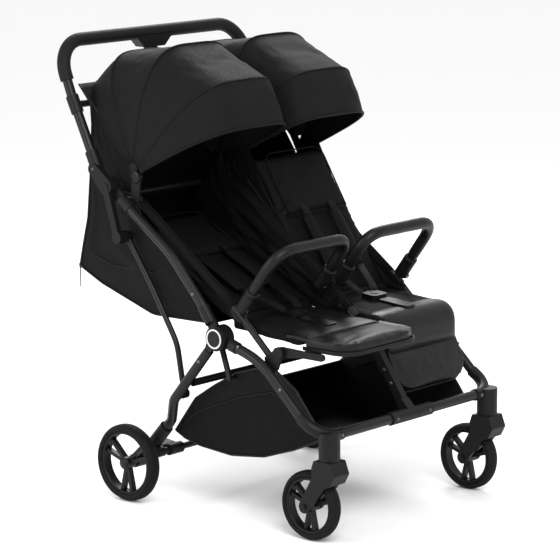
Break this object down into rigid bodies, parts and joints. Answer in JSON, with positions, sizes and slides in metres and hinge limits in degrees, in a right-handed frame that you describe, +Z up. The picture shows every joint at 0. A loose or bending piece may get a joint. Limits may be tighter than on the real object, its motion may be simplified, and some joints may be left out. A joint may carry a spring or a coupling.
{
  "type": "side-by-side twin stroller",
  "caption": "Side-by-side folding stroller with reclining seats, hooded canopies, bumper bars, legrests, an underseat basket and swivelling front wheels",
  "frame": {"origin": "centre of the footprint, on the ground", "axes": "+X to the children's left, -Y the direction of travel, +Z up"},
  "size_m": [0.712, 0.9045, 1.1135],
  "materials": {
    "frame_tube": "satin black powder coat",
    "moulded_plastic": "matte black moulded plastic with a fine grain",
    "cap_plastic": "satin black plastic",
    "grip_foam": "black foam grip",
    "leatherette": "soft black leatherette",
    "seat_fabric": "black woven polyester",
    "webbing": "black woven webbing",
    "canopy_fabric": "charcoal woven polyester",
    "mesh_fabric": "black knitted mesh",
    "tyre_foam": "black foam tyre with a fine tread",
    "rim_plastic": "matte black plastic"
  },
  "bodies": {
    "frame": {"basket": "mesh_fabric", "basket_stays": "frame_tube", "buckles": "cap_plastic", "bumper_sockets": "moulded_plastic", "canopy_hinges": "moulded_plastic", "canopy_rears": "canopy_fabric", "centre_leg": "moulded_plastic", "fabric_shell": "canopy_fabric", "front_corners": "moulded_plastic", "front_crossbar": "frame_tube", "front_tubes": "frame_tube", "hub_caps": "cap_plastic", "hub_housings": "moulded_plastic", "legrest_brackets": "moulded_plastic", "seat_pads": "seat_fabric", "seat_rails": "frame_tube", "side_tubes": "frame_tube", "upper_cross_tube": "frame_tube", "upper_pivots": "moulded_plastic"},
    "handle": {"handle_tube": "frame_tube", "handle_grip": "grip_foam", "handle_ferrules": "moulded_plastic", "handle_sleeves": "moulded_plastic", "handle_brace": "frame_tube", "fold_block": "moulded_plastic"},
    "fold_trigger": {"fold_trigger": "cap_plastic"},
    "rear_legs": {"rear_legs": "frame_tube", "leg_cross_tubes": "frame_tube", "rear_brackets": "moulded_plastic"},
    "brake_pedal": {"brake_pedal": "moulded_plastic"},
    "fold_links": {"fold_links": "frame_tube"},
    "caster_right": {"caster_fork_right": "moulded_plastic"},
    "front_wheel_right": {"front_rim_right": "rim_plastic", "front_tyre_right": "tyre_foam"},
    "rear_wheel_right": {"rear_rim_right": "rim_plastic", "rear_tyre_right": "tyre_foam"},
    "legrest_right": {"legrest_right": "leatherette"},
    "backrest_right": {"backrest_right": "seat_fabric", "harness_right": "webbing"},
    "canopy_mid_right": {"canopy_mid_right": "canopy_fabric"},
    "canopy_top_right": {"canopy_top_right": "canopy_fabric"},
    "canopy_visor_right": {"canopy_visor_right": "canopy_fabric"},
    "bumper_right": {"bumper_right": "leatherette"},
    "bumper_buttons_right": {"bumper_buttons_right": "cap_plastic"},
    "buckle_button_right": {"buckle_button_right": "cap_plastic"},
    "caster_left": {"caster_fork_left": "moulded_plastic"},
    "front_wheel_left": {"front_rim_left": "rim_plastic", "front_tyre_left": "tyre_foam"},
    "rear_wheel_left": {"rear_rim_left": "rim_plastic", "rear_tyre_left": "tyre_foam"},
    "legrest_left": {"legrest_left": "leatherette"},
    "backrest_left": {"backrest_left": "seat_fabric", "harness_left": "webbing"},
    "canopy_mid_left": {"canopy_mid_left": "canopy_fabric"},
    "canopy_top_left": {"canopy_top_left": "canopy_fabric"},
    "canopy_visor_left": {"canopy_visor_left": "canopy_fabric"},
    "bumper_left": {"bumper_left": "leatherette"},
    "bumper_buttons_left": {"bumper_buttons_left": "cap_plastic"},
    "buckle_button_left": {"buckle_button_left": "cap_plastic"}
  },
  "joints": [
    {"name": "handle_fold", "type": "hinge", "parent": "frame", "child": "handle", "pos_m": [0, 0.26475, 0.763], "axis": [1, 0, 0], "range_deg": [0, 116], "deforming": ["canopy_rears", "fabric_shell", "canopy_mid_right", "canopy_mid_left", "canopy_top_right", "canopy_top_left", "canopy_visor_right", "canopy_visor_left"]},
    {"name": "rear_leg_fold", "type": "hinge", "parent": "frame", "child": "rear_legs", "pos_m": [0, -0.09025, 0.441], "axis": [1, 0, 0], "range_deg": [0, 64.06], "deforming": ["basket", "fabric_shell"]},
    {"name": "link_swing", "type": "hinge", "parent": "rear_legs", "child": "fold_links", "pos_m": [0, 0.04175, 0.284], "axis": [1, 0, 0], "range_deg": [-80.8, 0]},
    {"name": "trigger_pull", "type": "slide", "parent": "handle", "child": "fold_trigger", "axis": [0, 0, 1], "range_m": [0, 0.006], "stiffness_N_per_m": 600},
    {"name": "brake_press", "type": "hinge", "parent": "rear_legs", "child": "brake_pedal", "pos_m": [0, 0.13475, 0.121], "axis": [1, 0, 0], "range_deg": [-15, 0]},
    {"name": "caster_right_swivel", "type": "hinge", "parent": "frame", "child": "caster_right", "pos_m": [-0.296, -0.41025, 0.198], "axis": [0, 0, 1], "continuous": true},
    {"name": "front_wheel_right_spin", "type": "hinge", "parent": "caster_right", "child": "front_wheel_right", "pos_m": [-0.296, -0.35625, 0.0825], "axis": [1, 0, 0], "continuous": true},
    {"name": "rear_wheel_right_spin", "type": "hinge", "parent": "rear_legs", "child": "rear_wheel_right", "pos_m": [-0.338, 0.19375, 0.095], "axis": [1, 0, 0], "continuous": true},
    {"name": "legrest_right_tilt", "type": "hinge", "parent": "frame", "child": "legrest_right", "pos_m": [-0.15, -0.26025, 0.427], "axis": [1, 0, 0], "range_deg": [0, 65]},
    {"name": "backrest_right_recline", "type": "hinge", "parent": "frame", "child": "backrest_right", "pos_m": [-0.15, -0.08825, 0.47], "axis": [1, 0, 0], "range_deg": [0, 32]},
    {"name": "canopy_right_fold", "type": "hinge", "parent": "frame", "child": "canopy_mid_right", "pos_m": [-0.16, 0.19375, 0.79], "axis": [1, 0, 0], "range_deg": [-26, 0], "deforming": ["canopy_mid_right"]},
    {"name": "canopy_right_top", "type": "hinge", "parent": "canopy_mid_right", "child": "canopy_top_right", "pos_m": [-0.16, 0.19375, 0.79], "axis": [1, 0, 0], "range_deg": [-26.1, 0], "deforming": ["canopy_top_right"]},
    {"name": "canopy_right_front", "type": "hinge", "parent": "canopy_top_right", "child": "canopy_visor_right", "pos_m": [-0.16, 0.19375, 0.79], "axis": [1, 0, 0], "range_deg": [-14.1, 0], "deforming": ["canopy_visor_right"]},
    {"name": "bumper_right_pull", "type": "slide", "parent": "frame", "child": "bumper_right", "axis": [0, -0.59, 0.8074], "range_m": [0, 0.028]},
    {"name": "bumper_buttons_right_press", "type": "slide", "parent": "frame", "child": "bumper_buttons_right", "axis": [0, 0.8074, 0.59], "range_m": [0, 0.002], "stiffness_N_per_m": 400},
    {"name": "buckle_button_right_press", "type": "slide", "parent": "frame", "child": "buckle_button_right", "axis": [0, 0.0629, -0.998], "range_m": [0, 0.002], "stiffness_N_per_m": 400},
    {"name": "caster_left_swivel", "type": "hinge", "parent": "frame", "child": "caster_left", "pos_m": [0.296, -0.41025, 0.198], "axis": [0, 0, 1], "continuous": true},
    {"name": "front_wheel_left_spin", "type": "hinge", "parent": "caster_left", "child": "front_wheel_left", "pos_m": [0.296, -0.35625, 0.0825], "axis": [1, 0, 0], "continuous": true},
    {"name": "rear_wheel_left_spin", "type": "hinge", "parent": "rear_legs", "child": "rear_wheel_left", "pos_m": [0.338, 0.19375, 0.095], "axis": [1, 0, 0], "continuous": true},
    {"name": "legrest_left_tilt", "type": "hinge", "parent": "frame", "child": "legrest_left", "pos_m": [0.15, -0.26025, 0.427], "axis": [1, 0, 0], "range_deg": [-65, 0]},
    {"name": "backrest_left_recline", "type": "hinge", "parent": "frame", "child": "backrest_left", "pos_m": [0.15, -0.08825, 0.47], "axis": [1, 0, 0], "range_deg": [-32, 0]},
    {"name": "canopy_left_fold", "type": "hinge", "parent": "frame", "child": "canopy_mid_left", "pos_m": [0.16, 0.19375, 0.79], "axis": [1, 0, 0], "range_deg": [-26, 0], "deforming": ["canopy_mid_left"]},
    {"name": "canopy_left_top", "type": "hinge", "parent": "canopy_mid_left", "child": "canopy_top_left", "pos_m": [0.16, 0.19375, 0.79], "axis": [1, 0, 0], "range_deg": [-26.1, 0], "deforming": ["canopy_top_left"]},
    {"name": "canopy_left_front", "type": "hinge", "parent": "canopy_top_left", "child": "canopy_visor_left", "pos_m": [0.16, 0.19375, 0.79], "axis": [1, 0, 0], "range_deg": [-14.1, 0], "deforming": ["canopy_visor_left"]},
    {"name": "bumper_left_pull", "type": "slide", "parent": "frame", "child": "bumper_left", "axis": [0, -0.59, 0.8074], "range_m": [0, 0.028]},
    {"name": "bumper_buttons_left_press", "type": "slide", "parent": "frame", "child": "bumper_buttons_left", "axis": [0, 0.8074, 0.59], "range_m": [0, 0.002], "stiffness_N_per_m": 400},
    {"name": "buckle_button_left_press", "type": "slide", "parent": "frame", "child": "buckle_button_left", "axis": [0, 0.0629, -0.998], "range_m": [0, 0.002], "stiffness_N_per_m": 400}
  ],
  "couplings": [
    {"joint": "rear_leg_fold", "follows": "handle_fold", "ratio": 0.55208},
    {"joint": "link_swing", "follows": "handle_fold", "ratio": -0.69641},
    {"joint": "canopy_right_top", "follows": "canopy_right_fold", "ratio": 1},
    {"joint": "canopy_right_front", "follows": "canopy_right_fold", "ratio": 0.54},
    {"joint": "canopy_left_top", "follows": "canopy_left_fold", "ratio": 1},
    {"joint": "canopy_left_front", "follows": "canopy_left_fold", "ratio": 0.54}
  ]
}
